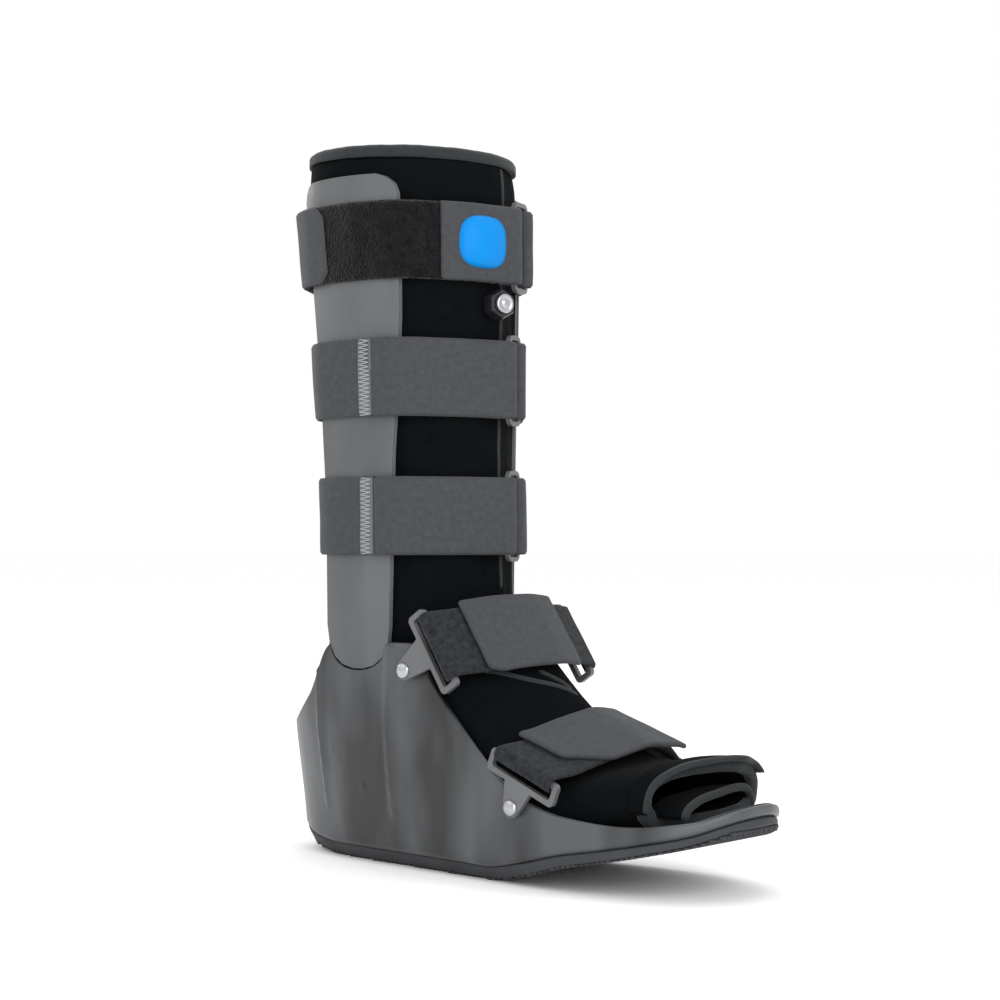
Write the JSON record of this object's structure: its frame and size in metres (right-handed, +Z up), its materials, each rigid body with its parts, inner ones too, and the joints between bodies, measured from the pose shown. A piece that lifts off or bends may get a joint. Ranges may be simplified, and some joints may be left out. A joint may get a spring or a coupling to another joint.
{
  "type": "medical walking boot",
  "caption": "Tall rocker-sole orthopaedic walking boot: plastic shell, side uprights, padded air liner, leg and foot straps, pump bulb and release valve.",
  "frame": {"origin": "on the floor, at the middle of the boot's bounding box in plan", "axes": "+X from heel to toe, +Z up, +Y to the boot's left side, where the straps' rings are not seen in the picture"},
  "size_m": [0.3461, 0.1445, 0.4385],
  "materials": {
    "outsole": "matte black moulded rubber tread",
    "shell": "satin dark grey moulded polypropylene",
    "upright": "satin mid grey moulded polypropylene",
    "liner": "black brushed foam laminate with a short nap",
    "binding": "dark grey bound edge tape",
    "strap": "dark grey foam-backed strap laminate, finely woven face",
    "pile": "black unbroken loop pile",
    "webbing": "charcoal woven webbing",
    "ring": "satin grey moulded nylon",
    "steel": "polished nickel-plated steel",
    "bulb": "bright blue satin rubber",
    "bezel": "black moulded plastic"
  },
  "bodies": {
    "boot": {"outsole": "outsole", "shell": "shell", "upright_right": "upright", "upright_left": "upright", "liner_foot": "liner", "liner_toe": "liner", "liner_leg": "liner", "top_binding": "binding", "strap_low": "strap", "ring_low": "ring", "strap_mid": "strap", "ring_mid": "ring", "strap_top": "strap", "strap_top_pile": "pile", "strap_top_panel": "strap", "ring_top": "ring", "bulb": "bulb", "valve_bezel": "bezel", "strap_ankle": "webbing", "pad_ankle": "strap", "strap_toe": "webbing", "pad_toe": "strap", "ring_ankle_right": "ring", "rivet_ankle_right": "steel", "ring_toe_right": "ring", "rivet_toe_right": "steel", "ring_ankle_left": "ring", "rivet_ankle_left": "steel", "ring_toe_left": "ring", "rivet_toe_left": "steel"},
    "release_button": {"valve_button": "steel"}
  },
  "joints": [
    {"name": "valve_press", "type": "slide", "parent": "boot", "child": "release_button", "axis": [-0.9563, 0.2924, 0], "range_m": [0, 0.0015], "stiffness_N_per_m": 600}
  ]
}
